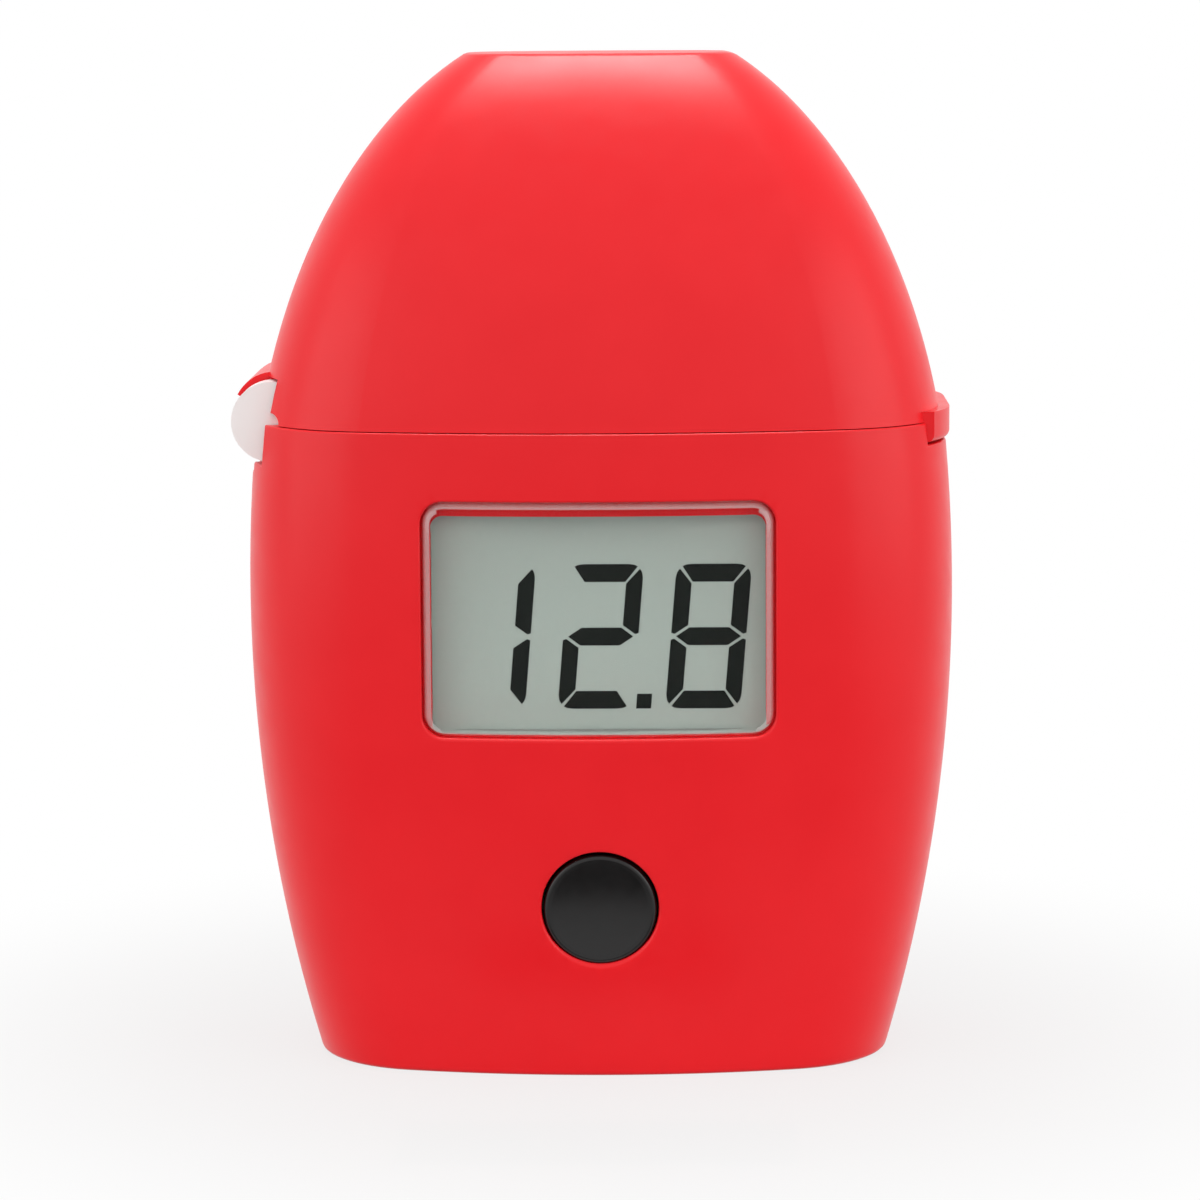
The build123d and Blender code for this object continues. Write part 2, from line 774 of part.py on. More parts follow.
def crown_trim():
    """The front outline that rounds the two corners beside the flat top."""
    rise = (overall_height - crown_centre_height) / crown_half_height
    top_x = crown_half_width * sqrt(1 - rise ** 2)
    slope = crown_half_width * rise / (crown_half_height * sqrt(1 - rise ** 2))
    drop = crown_half_width
    points = [(-top_x, overall_height), (top_x, overall_height),
              (top_x + slope * drop, overall_height - drop), (top_x + slope * drop, 0),
              (-top_x - slope * drop, 0), (-top_x - slope * drop, overall_height - drop)]
    face = make_face(Polyline(*points, close=True))
    corners = face.vertices().sort_by(Axis.Y)[-2:].sort_by(Axis.X)
    face = fillet(corners[0], crown_left_corner)
    corner = face.vertices().filter_by(lambda v: v.X > 0).sort_by(Axis.Y)[-1]
    face = fillet(corner, crown_right_corner)
    return Pos(0, far, 0) * extrude(Plane.XZ * face, 2 * far)


def lid_shell():
    """The lid: a crowned cup with the hinge knuckle and hood on the left and the latch tab on the right."""
    crown = lid_form(0, lid_bottom, overall_height)
    top = crown.faces().sort_by(Axis.Z)[-1]
    outer = fillet(top.edges(), crown_edge_radius) & crown_trim()
    cavity = lid_form(lid_wall, lid_bottom - 1, overall_height - lid_wall)
    lid = outer - cavity
    tab = plan_slab(lid_wire, lid_bottom, -tab_reach, tab_bottom, tab_top)
    tab -= plan_slab(lid_wire, lid_bottom, tab_depth, tab_bottom - 1, tab_top + 1)
    tab &= block(0, far, -tab_half_length, tab_half_length, 0, far)
    lower = tab.faces().sort_by(Axis.Z)[0]
    outer_edge = lower.edges().sort_by(Axis.X)[-1]
    lid += fillet(outer_edge, tab_corner)
    slots = pivot_disc(ear_radius + ear_slot_gap, -ear_outer - hinge_side_gap, ear_outer + hinge_side_gap)
    lid -= slots
    knuckle = pivot_disc(knuckle_radius, -knuckle_half_length, knuckle_half_length)
    hood = extrude(Plane.XZ * hood_outline(), 2 * knuckle_half_length)
    hood = Pos(0, knuckle_half_length, 0) * hood
    bridge = slots & (outer - cavity) & block(-far, 0, -knuckle_half_length, knuckle_half_length, 0, far)
    lid += knuckle + hood + bridge
    lid -= pivot_disc(pin_radius + pin_running, -far, far)
    bead = plan_slab(lid_wire, lid_bottom, tab_depth - bead_root, bead_bottom, bead_bottom + bead_height)
    bead -= plan_slab(lid_wire, lid_bottom, tab_depth + bead_reach, 0, far)
    bead &= block(0, far, -bead_half_length, bead_half_length, 0, far)
    return lid + bead


def lid_liner():
    """The black light shield inside the lid."""
    outside = lid_wall + liner_gap
    inside = outside + liner_thickness
    liner = lid_form(outside, liner_bottom, overall_height - outside)
    liner -= lid_form(inside, liner_bottom - 1, overall_height - inside)
    clear = ear_radius + ear_slot_gap + liner_thickness
    return liner - pivot_disc(clear, -ear_outer - hinge_side_gap, ear_outer + hinge_side_gap)


def battery():
    half = battery_length / 2
    cell = rod_x(battery_y, battery_height, battery_radius, battery_x - half, battery_x + half)
    rims = cell.edges().filter_by(GeomType.CIRCLE)
    cell = fillet(rims, battery_slack * 2)
    return cell + rod_x(battery_y, battery_height, battery_nipple_radius, battery_x + half,
                        battery_x + half + battery_nipple_length)


def contact(side, face_x):
    """A contact plate against the end wall, with a bent tail to the board; side 1 is at the right."""
    y0 = battery_y - contact_width / 2
    y1 = battery_y + contact_width / 2
    far_x = face_x + side * contact_thickness
    plate = block(min(face_x, far_x), max(face_x, far_x), y0, y1,
                  battery_height - contact_height / 2, battery_height + contact_height / 2)
    run_y = tub_front - contact_thickness
    half = contact_tail_width / 2
    z0 = battery_height - half
    z1 = battery_height + half
    tail = block(min(face_x, far_x), max(face_x, far_x), run_y, y0, z0, z1)
    tail += block(min(side * contact_tail_x, far_x), max(side * contact_tail_x, far_x),
                  run_y, run_y + contact_thickness, z0, z1)
    near_x = side * (contact_tail_x + contact_thickness)
    tail += block(min(side * contact_tail_x, near_x), max(side * contact_tail_x, near_x),
                  board_rear, run_y + contact_thickness, z0, z1)
    return plate + tail


def battery_contact_positive():
    face_x = battery_x + battery_length / 2 + battery_nipple_length
    return contact(1, face_x)


def battery_contact_negative():
    """The plate with its coil spring pressing on the cell's flat end."""
    face_x = battery_x - battery_length / 2 - spring_length
    plate = contact(-1, face_x)
    rise = spring_length - 2 * spring_wire_radius
    coil = Helix(pitch=rise / spring_turns, height=rise, radius=spring_radius)
    profile = Plane(origin=coil @ 0, z_dir=coil % 0) * Circle(spring_wire_radius)
    spring = sweep(profile, path=coil, is_frenet=True)
    place = Pos(face_x + spring_wire_radius, battery_y, battery_height) * Rot(0, 90, 0)
    return plate + place * spring


def slotted_head(x, z, y):
    """A round screw head lying on the plane y, seen from the rear."""
    head = rod_y(x, z, screw_head_radius, y, y + screw_head_height)
    slot = block(x - screw_slot / 2, x + screw_slot / 2, y + screw_head_height / 2, far, z - far, z + far)
    return head - slot


def case_screws():
    screws = []
    for x, z in case_screw_places():
        shank = rod_y(x, z, screw_radius, case_screw_seat_y - case_screw_length, case_screw_seat_y)
        screws.append(shank + slotted_head(x, z, case_screw_seat_y))
    return Compound(children=screws)


def battery_door():
    """The rear cover of the battery, with two hooks at its left end and ribs that hold the cell."""
    door = casing_half(1) & door_opening(door_gap, door_swing_gap)
    start = -door_half_width - door_tab_reach
    inside = door_inside(door_tab_clearance)
    for z in door_tab_heights:
        z0 = z - door_tab_height / 2
        z1 = z + door_tab_height / 2
        hook = block(start, start + door_tab_length, battery_y + door_tab_room, far, z0, z1)
        hook &= inside
        hook -= door_inside(door_tab_clearance + door_tab_thickness)
        root = block(-door_half_width + door_gap, start + door_tab_length, battery_y + door_tab_room, far,
                     z0, z1)
        root &= body_form(wall / 2, wall / 2, body_top)
        root -= door_inside(door_tab_clearance + door_tab_thickness)
        door += hook + root
    rib_top = door_top - door_gap - tub_wall
    hold = rod_x(battery_y, battery_height, battery_radius + door_rib_gap, -far, far)
    for x in door_rib_positions:
        rib = block(x - door_rib_thickness / 2, x + door_rib_thickness / 2,
                    battery_y + battery_radius / 2, far, battery_height - battery_radius,
                    min(rib_top, battery_height + battery_radius))
        rib &= body_form(wall / 2, wall / 2, body_top)
        door += rib - hold
    seat = door_screw_seat_y()
    door -= rod_y(door_screw_x, door_screw_height, screw_head_radius + screw_head_clearance, seat, far)
    return door - rod_y(door_screw_x, door_screw_height, screw_radius + case_screw_grip, 0, far)


def door_screw_seat_y():
    """Where the door screw's head rests, measured in from the curved outer face."""
    probe = rod_y(door_screw_x, door_screw_height, screw_radius, 0, far) & body_form(0, 0, body_top)
    return probe.bounding_box().max.Y - door_screw_seat


def door_screw():
    seat = door_screw_seat_y()
    shank = rod_y(door_screw_x, door_screw_height, screw_radius, seat - door_screw_length, seat)
    return shank + slotted_head(door_screw_x, door_screw_height, seat)


PIECES = [
    front_shell, rear_shell, deck_frame, cuvette_holder, well_gasket, hinge_pin,
    lcd_window, lcd_panel, lcd_frame, zebra_strips, main_board, board_components, switch_body,
    led_emitter, optical_filter, photodetector,
    battery, battery_contact_positive, battery_contact_negative, case_screws,
    lid_shell, lid_liner, power_button, switch_plunger, battery_door, door_screw,
]

os.makedirs("parts", exist_ok=True)
for piece in PIECES:
    export_step(piece(), "parts/" + piece.__name__ + ".step")
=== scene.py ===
import json
from math import asin, ceil, cos, pi, radians, sin, sqrt, tan

import bmesh
import bpy
import numpy as np
from mathutils import Matrix, Vector, geometry


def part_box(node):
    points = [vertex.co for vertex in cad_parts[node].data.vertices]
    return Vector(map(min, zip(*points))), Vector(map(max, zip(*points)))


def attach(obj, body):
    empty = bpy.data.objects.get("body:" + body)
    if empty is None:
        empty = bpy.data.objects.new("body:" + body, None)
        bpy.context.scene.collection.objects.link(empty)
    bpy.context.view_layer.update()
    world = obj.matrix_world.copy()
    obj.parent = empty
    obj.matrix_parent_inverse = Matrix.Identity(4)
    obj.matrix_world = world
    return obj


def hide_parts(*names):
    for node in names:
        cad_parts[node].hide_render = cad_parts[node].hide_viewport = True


# A red pocket colorimeter with its lid shut, standing on a pale floor.
# Sizes of pieces are in millimetres and turn into metres when a mesh is written. The stage is in metres.

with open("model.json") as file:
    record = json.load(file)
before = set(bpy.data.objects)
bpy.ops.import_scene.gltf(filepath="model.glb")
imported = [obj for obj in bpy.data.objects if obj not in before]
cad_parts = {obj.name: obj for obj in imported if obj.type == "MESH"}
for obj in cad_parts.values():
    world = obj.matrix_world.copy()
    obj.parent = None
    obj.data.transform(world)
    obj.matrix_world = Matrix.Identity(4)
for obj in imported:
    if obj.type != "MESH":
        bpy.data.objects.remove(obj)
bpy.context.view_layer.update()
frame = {"nodes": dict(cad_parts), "record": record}

MM = 0.001

# Fineness of the meshes, with the merge distance alone in metres
merge_distance = 2e-6
sheet_tolerance = 1e-6
rim_spacing = 1.0
skin_spacing = 1.1
base_spacing = 2.5
inner_spacing = 3.0
inner_base_spacing = 4.0
inner_first_row = 1.0
lens_spacing = 0.9
edge_clear_share = 0.4
straight_sine = 0.02
roll_steps = 4
hole_points = 72
window_side_points = 28
window_end_points = 20
window_corner_points = 8
crisp_angle = 40

# Casing form
body_half_width = 30.15
body_half_depth = 18.75
widest_height = 40.0
flank_radius = 145.0
plan_broad_radius = 90.0
plan_corner_radius = 12.3
body_top = 55.02
wall = 2.0
base_round = 0.45
base_run = 20.0

# Rounding of moulded edges
seam_round = 0.14
rim_round = 0.14
notch_round = 0.2
window_round = 0.22
button_hole_round = 0.25

# Display window
window_height = 39.4
lens_width = 29.4
lens_height = 19.7
lens_corner = 1.8
lens_thickness = 1.2
lens_recess = 0.05
lens_clearance = 0.1
lens_round = 0.75
lens_edge_facing = 0.95
view_width = 27.7
view_height = 18.1
view_corner = 1.0
view_middle = 39.05
frame_rib = 0.9
frame_overlap = 0.1
frame_panel_gap = 0.05

# Push button
button_height = 14.8
button_radius = 4.75
button_clearance = 0.2
button_recess = 0.1
button_dish_radius = 17.0
button_lip = 0.45
button_round = 0.3
button_round_steps = 5
button_back_y = -14.2
button_points = 96
button_crisp_angle = 60
dish_ring_shares = (0.04, 0.12, 0.24, 0.36, 0.48, 0.6, 0.7, 0.8, 0.88, 0.94, 0.98)
dish_rim_width = 0.04
dish_rim_depth = 0.012

# Digits on the display
digit_height = 12.2
digit_width = 6.26
digit_pitch = 8.98
digit_middle_x = 0.16
digit_middle_z = 37.75
digit_bar = 1.5
digit_post = 1.36
digit_gap = 0.2
digit_slant = radians(4.75)
digit_thickness = 0.03
point_x = 4.2
point_side = 1.25

# Ends of a digit's bars, where each pair is a corner, in x and z inward from the digit's own corner
post_tip = (0.3, 0.4)
post_shoulder = (0.1, 0.7)
post_straight_start = 1.15
post_straight_end = 0.3
post_foot = 0.28
bar_tip = (0.5, 0.2)
bar_shoulder = (0.8, 0.06)
bar_straight_start = 1.25
middle_tip = 0.42
post_gap_share = 0.7
bar_gap_share = 0.4
middle_gap_share = 0.6

# Openings in the body's rim for the hinge and the latch tab
ear_notch_half = 9.25
ear_notch_bottom = 51.6
stop_notch_half = 6.5
stop_notch_bottom = 50.8
tab_notch_half = 10.6
tab_notch_bottom = 53.2


class Plan:
    """The casing's outline seen from above. u runs along it in mm from the middle of a broad side."""

    def __init__(self, width, depth, broad, corner):
        self.width = width
        self.broad = broad
        self.corner = corner
        self.corner_x = width - corner
        self.broad_y = depth - broad
        self.corner_y = self.broad_y + sqrt((broad - corner) ** 2 - self.corner_x ** 2)
        self.turn = asin(self.corner_x / (broad - corner))
        self.corner_u = broad * self.turn
        self.flank_u = self.corner_u + corner * (pi / 2 - self.turn)
        self.quarter = self.flank_u + self.corner_y

    def at(self, u):
        """The point and the outward direction at u, with y counted towards the broad side."""
        side = 1 if u >= 0 else -1
        run = abs(u)
        if run <= self.corner_u:
            angle = run / self.broad
            x = self.broad * sin(angle)
            y = self.broad_y + self.broad * cos(angle)
        elif run <= self.flank_u:
            angle = self.turn + (run - self.corner_u) / self.corner
            x = self.corner_x + self.corner * sin(angle)
            y = self.corner_y + self.corner * cos(angle)
        else:
            angle = pi / 2
            x = self.width
            y = self.quarter - run
        return side * x, y, side * sin(angle), cos(angle)

    def u_at_x(self, x, scale, depth):
        """Where the outline, scaled and moved inward by depth, reaches x."""
        broad = self.broad * scale - depth
        if abs(x) <= broad * sin(self.turn):
            return self.broad * asin(x / broad)
        corner = self.corner * scale - depth
        angle = asin(min(1, (abs(x) - self.corner_x * scale) / corner))
        return (self.corner_u + self.corner * (angle - self.turn)) * (1 if x > 0 else -1)

    def u_at_y(self, y, scale, depth):
        """Where the outline, scaled and moved inward by depth, reaches y on its positive x side."""
        if y <= self.corner_y * scale:
            return self.quarter - y / scale
        corner = self.corner * scale - depth
        angle = pi / 2 - asin((y - self.corner_y * scale) / corner)
        return self.corner_u + self.corner * (angle - self.turn)


body_plan = Plan(body_half_width, body_half_depth, plan_broad_radius, plan_corner_radius)


def body_scale(z):
    """How wide the casing is at a height, as a share of its widest."""
    drop = flank_radius - sqrt(flank_radius ** 2 - (z - widest_height) ** 2)
    return 1 - drop / body_half_width


def row_at(z, depth):
    """The row v of the body's surface, moved inward by depth, that lies at height z."""
    return (z - depth) * body_top / (body_top - depth)


def body_raw(u, v, depth):
    """The casing's surface, moved inward by depth, with a sharp corner where its side meets its base."""
    x, y, nx, ny = body_plan.at(u)
    z = depth + max(v, 0) * (body_top - depth) / body_top
    scale = body_scale(z)
    shrink = 1 + min(v, 0) / base_run
    return Vector(((x * scale - nx * depth) * shrink, (y * scale - ny * depth) * shrink, z))


def body_surface(u, v, depth):
    """The side for v above 0, and the base, running in to its middle, for v below 0, with a round between."""
    if abs(v) >= base_round:
        return body_raw(u, v, depth)
    t = (v + base_round) / (2 * base_round)
    start = body_raw(u, -base_round, depth)
    middle = body_raw(u, 0, depth)
    end = body_raw(u, base_round, depth)
    return start * (1 - t) ** 2 + middle * 2 * t * (1 - t) + end * t ** 2


def front(u, v, depth):
    """The surface on the side of the display."""
    p = body_surface(u, v, depth)
    return Vector((p.x, -p.y, p.z))


def inset_loop(loop, radii, share):
    """The closed loop moved to its left by each side's radius times share."""
    moved = []
    count = len(loop)
    for i in range(count):
        here = Vector(loop[i])
        before = (here - Vector(loop[i - 1])).normalized()
        after = (Vector(loop[(i + 1) % count]) - here).normalized()
        r0 = radii[i - 1] * share
        r1 = radii[i] * share
        n0 = Vector((-before.y, before.x))
        n1 = Vector((-after.y, after.x))
        cross = n0.x * n1.y - n0.y * n1.x
        if abs(cross) < straight_sine:
            moved.append(here + (n0 * r0 + n1 * r1) / 2)
        else:
            moved.append(here + Vector(((r0 * n1.y - r1 * n0.y) / cross, (r1 * n0.x - r0 * n1.x) / cross)))
    return [(p.x, p.y) for p in moved]


def within(points, loop):
    """Which points lie inside a closed loop."""
    px = points[:, 0][:, None]
    py = points[:, 1][:, None]
    a = np.array(loop)
    b = np.roll(a, -1, axis=0)
    crosses = (a[:, 1] > py) != (b[:, 1] > py)
    rise = np.where(b[:, 1] == a[:, 1], 1, b[:, 1] - a[:, 1])
    at_x = (b[:, 0] - a[:, 0]) * (py - a[:, 1]) / rise + a[:, 0]
    return (crosses & (px < at_x)).sum(axis=1) % 2 == 1


def distance_to(points, loop):
    """How far each point lies from a closed loop."""
    a = np.array(loop)
    b = np.roll(a, -1, axis=0)
    ab = b - a
    length = np.maximum((ab ** 2).sum(axis=1), sheet_tolerance ** 2)
    ap = points[:, None, :] - a[None, :, :]
    t = np.clip((ap * ab).sum(axis=2) / length, 0, 1)
    nearest = ap - t[:, :, None] * ab
    return np.sqrt((nearest ** 2).sum(axis=2)).min(axis=1)


class Build:
    """Collects the points and faces of one closed piece."""

    def __init__(self):
        self.points = []
        self.faces = []

    def add(self, points, faces):
        base = len(self.points)
        self.points += [Vector(p) for p in points]
        self.faces += [tuple(base + i for i in face) for face in faces]

    def skin(self, loops, surface, depth, columns, rows):
        """A filled sheet between the first loop and the others, which are its holes."""
        grid = np.array([(u, v) for v in rows for u in columns])
        spacing = columns[1] - columns[0]
        keep = within(grid, loops[0])
        for hole in loops[1:]:
            keep &= ~within(grid, hole)
        grid = grid[keep]
        for loop in loops:
            grid = grid[distance_to(grid, loop) > spacing * edge_clear_share]
        points = []
        edges = []
        for loop in loops:
            base = len(points)
            points += [Vector(p) for p in loop]
            edges += [(base + i, base + (i + 1) % len(loop)) for i in range(len(loop))]
        points += [Vector(p) for p in grid]
        made = geometry.delaunay_2d_cdt(points, edges, [], 0, sheet_tolerance, False)
        flat = np.array([(p.x, p.y) for p in made[0]])
        triangles = np.array(made[2])
        middles = flat[triangles].mean(axis=1)
        keep = within(middles, loops[0])
        for hole in loops[1:]:
            keep &= ~within(middles, hole)
        self.add([surface(u, v, depth) for u, v in flat], [tuple(t) for t in triangles[keep]])

    def rings(self, rings):
        """Bands of four-sided faces between rings with the same number of points."""
        count = len(rings[0])
        points = [p for ring in rings for p in ring]
        faces = []
        for row in range(len(rings) - 1):
            for i in range(count):
                j = (i + 1) % count
                faces.append((row * count + i, row * count + j, (row + 1) * count + j, (row + 1) * count + i))
        self.add(points, faces)

    def cap(self, ring):
        """A flat or gently curved end, filled from its middle."""
        middle = sum(ring, Vector()) / len(ring)
        count = len(ring)
        self.add(list(ring) + [middle], [(i, (i + 1) % count, count) for i in range(count)])

    def finish(self, name, look, body, replaced=(), crisp=crisp_angle):
        """Makes the piece. Edges that turn by more than the crisp angle, in degrees, stay crisp."""
        mesh = bpy.data.meshes.new(name)
        mesh.from_pydata([p * MM for p in self.points], [], self.faces)
        work = bmesh.new()
        work.from_mesh(mesh)
        bmesh.ops.remove_doubles(work, verts=work.verts, dist=merge_distance)
        bmesh.ops.dissolve_degenerate(work, dist=merge_distance / 10, edges=work.edges)
        bmesh.ops.recalc_face_normals(work, faces=work.faces)
        work.to_mesh(mesh)
        work.free()
        mesh.shade_smooth()
        mesh.set_sharp_from_angle(angle=radians(crisp))
        mesh.materials.append(look)
        piece = bpy.data.objects.new(name, mesh)
        bpy.context.scene.collection.objects.link(piece)
        weigh = piece.modifiers.new("even normals", "WEIGHTED_NORMAL")
        weigh.keep_sharp = True
        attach(piece, body)
        if replaced:
            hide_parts(*replaced)
        return piece


def spread(start, end, step):
    """Evenly spaced values from start to end, no further apart than step."""
    count = max(1, ceil(abs(end - start) / step))
    return [start + (end - start) * i / count for i in range(count + 1)]


def walk(corners, counts):
    """Points along a closed outline, each side divided into its own count."""
    points = []
    for i, (x0, y0) in enumerate(corners):
        x1, y1 = corners[(i + 1) % len(corners)]
        for step in range(counts[i]):
            t = step / counts[i]
            points.append((x0 + (x1 - x0) * t, y0 + (y1 - y0) * t))
    return points


def rounded_rectangle(width, height, corner):
    """The outline in x and z about its centre, running clockwise seen from the front."""
    points = []
    centres = [(1, 1), (1, -1), (-1, -1), (-1, 1)]
    half_width = width / 2 - corner
    half_height = height / 2 - corner
    for i, (sx, sz) in enumerate(centres):
        start = pi / 2 - i * pi / 2
        end = start - pi / 2
        for k in range(window_corner_points + 1):
            angle = start - pi / 2 * k / window_corner_points
            points.append((sx * half_width + corner * cos(angle), sz * half_height + corner * sin(angle)))
        x0, z0 = points[-1]
        nx, nz = centres[(i + 1) % 4]
        x1 = nx * half_width + corner * cos(end)
        z1 = nz * half_height + corner * sin(end)
        count = window_end_points if sx == nx else window_side_points
        points += [(x0 + (x1 - x0) * k / count, z0 + (z1 - z0) * k / count) for k in range(1, count)]
    return points


def circle(radius, count):
    """The outline in x and z about its centre, running clockwise seen from the front."""
    return [(radius * cos(-2 * pi * i / count), radius * sin(-2 * pi * i / count)) for i in range(count)]


def onto_front(outline, centre_z, depth):
    """The u and v of an outline given in x and z, on the body's surface moved inward by depth."""
    loop = []
    for x, z in outline:
        height = z + centre_z
        loop.append((body_plan.u_at_x(x, body_scale(height), depth), row_at(height, depth)))
    return loop


def rolled(loop, radii, surface, start_depth=0.0):
    """Rings that round over an edge, from the sheet's rim to straight inward."""
    rings = []
    for k in range(roll_steps + 1):
        angle = pi / 2 * k / roll_steps
        moved = inset_loop(loop, radii, 1 - sin(angle))
        ring = []
        for i, (u, v) in enumerate(moved):
            radius = min(radii[i - 1], radii[i])
            ring.append(surface(u, v, start_depth + radius * (1 - cos(angle))))
        rings.append(ring)
    return rings


def at_depth(loop, surface, depth):
    """The loop's points on the surface moved inward by depth."""
    return [surface(u, v, depth) for u, v in loop]


# Materials

# The scale of a noise is about the number of its patches along a metre.
noise_detail = 3.0
noise_low = 0.3
noise_high = 0.7
colour_change = 0.1
metal_roughness_low = 0.8
metal_roughness_high = 1.25


def material(name, colour, roughness, metallic=0.0, ior=1.5, transmission=0.0):
    made = bpy.data.materials.new(name)
    made.use_nodes = True
    shader = made.node_tree.nodes["Principled BSDF"]
    shader.inputs["Base Color"].default_value = (*colour, 1)
    shader.inputs["Roughness"].default_value = roughness
    shader.inputs["Metallic"].default_value = metallic
    shader.inputs["IOR"].default_value = ior
    shader.inputs["Transmission Weight"].default_value = transmission
    return made


def add_noise(made, scale):
    """A noise node that reads the object's own coordinates, in metres."""
    nodes = made.node_tree.nodes
    place = nodes.new("ShaderNodeTexCoord")
    noise = nodes.new("ShaderNodeTexNoise")
    noise.inputs["Scale"].default_value = scale
    noise.inputs["Detail"].default_value = noise_detail
    made.node_tree.links.new(place.outputs["Object"], noise.inputs["Vector"])
    return noise


def vary_colour(made, dark, light, scale):
    """Blends the colour slightly between two shades in soft patches."""
    noise = add_noise(made, scale)
    nodes = made.node_tree.nodes
    ramp = nodes.new("ShaderNodeValToRGB")
    ramp.color_ramp.elements[0].position = noise_low
    ramp.color_ramp.elements[1].position = noise_high
    ramp.color_ramp.elements[0].color = (*dark, 1)
    ramp.color_ramp.elements[1].color = (*light, 1)
    made.node_tree.links.new(noise.outputs["Fac"], ramp.inputs["Fac"])
    made.node_tree.links.new(ramp.outputs["Color"], nodes["Principled BSDF"].inputs["Base Color"])


def vary_roughness(made, low, high, scale):
    """Makes the surface slightly glossier and duller in patches."""
    noise = add_noise(made, scale)
    nodes = made.node_tree.nodes
    span = nodes.new("ShaderNodeMapRange")
    span.inputs["From Min"].default_value = noise_low
    span.inputs["From Max"].default_value = noise_high
    span.inputs["To Min"].default_value = low
    span.inputs["To Max"].default_value = high
    made.node_tree.links.new(noise.outputs["Fac"], span.inputs["Value"])
    made.node_tree.links.new(span.outputs["Result"], nodes["Principled BSDF"].inputs["Roughness"])


def grain(made, scale, height, strength):
    """A fine moulded texture, as bump of the given height in metres."""
    noise = add_noise(made, scale)
    nodes = made.node_tree.nodes
    bump = nodes.new("ShaderNodeBump")
    bump.inputs["Strength"].default_value = strength
    bump.inputs["Distance"].default_value = height
    made.node_tree.links.new(noise.outputs["Fac"], bump.inputs["Height"])
    made.node_tree.links.new(bump.outputs["Normal"], nodes["Principled BSDF"].inputs["Normal"])


def set_specular(made, level):
    made.node_tree.nodes["Principled BSDF"].inputs["Specular IOR Level"].default_value = level


def red_plastic():
    made = material("red_plastic", (0.81, 0.007, 0.013), roughness=0.33, ior=1.35)
    vary_colour(made, (0.80, 0.006, 0.012), (0.82, 0.008, 0.014), scale=160)
    vary_roughness(made, 0.30, 0.36, scale=420)
    grain(made, scale=3200, height=0.00001, strength=0.35)
    return made


def white_plastic():
    made = material("white_plastic", (0.93, 0.92, 0.905), roughness=0.45)
    vary_colour(made, (0.92, 0.91, 0.895), (0.94, 0.93, 0.915), scale=250)
    grain(made, scale=2600, height=0.00001, strength=0.3)
    return made


def plain_plastic(name, colour, roughness):
    """Moulded plastic with a slightly uneven colour."""
    made = material(name, colour, roughness)
    dark = [c * (1 - colour_change) for c in colour]
    light = [c * (1 + colour_change) for c in colour]
    vary_colour(made, dark, light, scale=300)
    grain(made, scale=2500, height=0.00001, strength=0.3)
    return made


def button_plastic():
    made = material("button_black", (0.006, 0.0055, 0.0055), roughness=0.24)
    set_specular(made, 0.4)
    vary_roughness(made, 0.2, 0.27, scale=900)
    grain(made, scale=2600, height=0.000004, strength=0.2)
    return made


def clear_plastic(name, colour):
    """Clear plastic, treated against glare, that lets light through to what lies behind it."""
    made = material(name, colour, roughness=0.02, ior=1.49, transmission=1.0)
    nodes = made.node_tree.nodes
    links = made.node_tree.links
    shader = nodes["Principled BSDF"]
    shader.inputs["Specular Tint"].default_value = (0.15, 0.15, 0.15, 1)
    clear = nodes.new("ShaderNodeBsdfTransparent")
    clear.inputs["Color"].default_value = (0.93, 0.94, 0.93, 1)
    path = nodes.new("ShaderNodeLightPath")
    mix = nodes.new("ShaderNodeMixShader")
    links.new(path.outputs["Is Shadow Ray"], mix.inputs["Fac"])
    links.new(shader.outputs["BSDF"], mix.inputs[1])
    links.new(clear.outputs["BSDF"], mix.inputs[2])
    links.new(mix.outputs["Shader"], nodes["Material Output"].inputs["Surface"])
    vary_roughness(made, 0.01, 0.03, scale=500)
    return made


def painted_highlight_edge():
    """The window's rounded edge, which reflects more of the light than its treated face. Its pale pink
    colour, which lets less light through than the face, is a painted highlight.
    """
    made = material("painted_highlight_edge", (0.93, 0.88, 0.87), roughness=0.06, ior=1.49, transmission=0.75)
    vary_roughness(made, 0.04, 0.1, scale=700)
    return made


def display_glass():
    made = material("display_glass", (0.50, 0.575, 0.53), roughness=0.3)
    vary_colour(made, (0.49, 0.565, 0.52), (0.51, 0.585, 0.54), scale=2400)
    return made


def segment_ink():
    made = material("segment_ink", (0.008, 0.011, 0.009), roughness=0.5)
    set_specular(made, 0.1)
    vary_colour(made, (0.007, 0.010, 0.008), (0.009, 0.012, 0.010), scale=1500)
    return made


def metal(name, colour, roughness):
    made = material(name, colour, roughness, metallic=1.0)
    vary_roughness(made, roughness * metal_roughness_low, roughness * metal_roughness_high, scale=1500)
    return made


